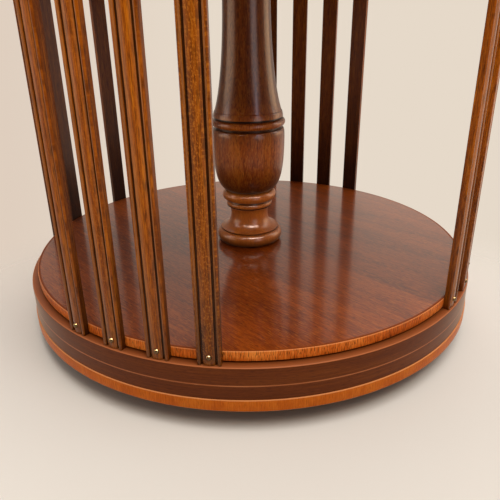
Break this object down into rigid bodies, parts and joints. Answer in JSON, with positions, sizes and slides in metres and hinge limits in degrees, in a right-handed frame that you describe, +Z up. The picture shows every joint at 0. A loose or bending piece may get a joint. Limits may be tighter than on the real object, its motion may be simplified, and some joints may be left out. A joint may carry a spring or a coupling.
{
  "type": "revolving bookcase",
  "caption": "Round floor-standing revolving bookcase: a banded drum plinth on hidden castors, tiers of shelves on turned columns, and groups of moulded slats.",
  "frame": {"origin": "on the axis of revolution, at the floor", "axes": "+Z up along the axis of revolution; +X and +Y out through open sides, with the slat groups on the diagonals"},
  "size_m": [0.5099, 0.51, 0.7213],
  "materials": {
    "mahogany": "French polished",
    "slat_mahogany": "French polished",
    "satinwood": "French polished",
    "boxwood": "French polished",
    "iron": "as cast and turned",
    "steel": "turned and ground",
    "brass": "polished, toned with age"
  },
  "bodies": {
    "plinth": {"plinth_wall": "mahogany", "plinth_deck": "mahogany", "plinth_crossband": "satinwood", "plinth_string": "boxwood", "spindle": "iron", "spindle_flange": "iron", "spindle_nut": "iron", "flange_screws": "steel", "lower_race": "steel", "castor_screws": "brass", "castor_plate_1": "brass", "castor_plate_2": "brass", "castor_plate_3": "brass", "castor_plate_4": "brass"},
    "ball_ring": {"ball_cage": "brass", "bearing_balls": "steel"},
    "case": {"upper_race": "steel", "lower_shelf": "mahogany", "lower_shelf_band": "satinwood", "lower_bush": "brass", "lower_column": "mahogany", "middle_shelf": "mahogany", "middle_shelf_band": "satinwood", "upper_column": "mahogany", "top_shelf": "mahogany", "top_shelf_band": "satinwood", "upper_bush": "brass", "top_board": "mahogany", "top_crossband": "satinwood", "top_strings": "boxwood", "top_screws": "steel", "slat_pins": "brass", "slat_01": "slat_mahogany", "slat_02": "slat_mahogany", "slat_03": "slat_mahogany", "slat_04": "slat_mahogany", "slat_05": "slat_mahogany", "slat_06": "slat_mahogany", "slat_07": "slat_mahogany", "slat_08": "slat_mahogany", "slat_09": "slat_mahogany", "slat_10": "slat_mahogany", "slat_11": "slat_mahogany", "slat_12": "slat_mahogany", "slat_13": "slat_mahogany", "slat_14": "slat_mahogany", "slat_15": "slat_mahogany", "slat_16": "slat_mahogany"},
    "castor_1": {"castor_fork_1": "brass", "castor_axle_1": "steel"},
    "wheel_1": {"castor_wheel_1": "brass"},
    "castor_2": {"castor_fork_2": "brass", "castor_axle_2": "steel"},
    "wheel_2": {"castor_wheel_2": "brass"},
    "castor_3": {"castor_fork_3": "brass", "castor_axle_3": "steel"},
    "wheel_3": {"castor_wheel_3": "brass"},
    "castor_4": {"castor_fork_4": "brass", "castor_axle_4": "steel"},
    "wheel_4": {"castor_wheel_4": "brass"}
  },
  "joints": [
    {"name": "revolve", "type": "hinge", "parent": "plinth", "child": "case", "pos_m": [0, 0, 0.0663], "axis": [0, 0, 1], "continuous": true},
    {"name": "bearing_turn", "type": "hinge", "parent": "plinth", "child": "ball_ring", "pos_m": [0, 0, 0.0663], "axis": [0, 0, 1], "continuous": true},
    {"name": "castor_swivel_1", "type": "hinge", "parent": "plinth", "child": "castor_1", "pos_m": [0.13294, 0.13294, 0.038], "axis": [0, 0, 1], "continuous": true},
    {"name": "wheel_roll_1", "type": "hinge", "parent": "castor_1", "child": "wheel_1", "pos_m": [0.12304, 0.14284, 0.017], "axis": [0.7071, 0.7071, 0], "continuous": true},
    {"name": "castor_swivel_2", "type": "hinge", "parent": "plinth", "child": "castor_2", "pos_m": [-0.13294, 0.13294, 0.038], "axis": [0, 0, 1], "continuous": true},
    {"name": "wheel_roll_2", "type": "hinge", "parent": "castor_2", "child": "wheel_2", "pos_m": [-0.14284, 0.12304, 0.017], "axis": [-0.7071, 0.7071, 0], "continuous": true},
    {"name": "castor_swivel_3", "type": "hinge", "parent": "plinth", "child": "castor_3", "pos_m": [-0.13294, -0.13294, 0.038], "axis": [0, 0, 1], "continuous": true},
    {"name": "wheel_roll_3", "type": "hinge", "parent": "castor_3", "child": "wheel_3", "pos_m": [-0.12304, -0.14284, 0.017], "axis": [-0.7071, -0.7071, 0], "continuous": true},
    {"name": "castor_swivel_4", "type": "hinge", "parent": "plinth", "child": "castor_4", "pos_m": [0.13294, -0.13294, 0.038], "axis": [0, 0, 1], "continuous": true},
    {"name": "wheel_roll_4", "type": "hinge", "parent": "castor_4", "child": "wheel_4", "pos_m": [0.14284, -0.12304, 0.017], "axis": [0.7071, -0.7071, 0], "continuous": true}
  ],
  "couplings": [
    {"joint": "bearing_turn", "follows": "revolve", "ratio": 0.5}
  ]
}
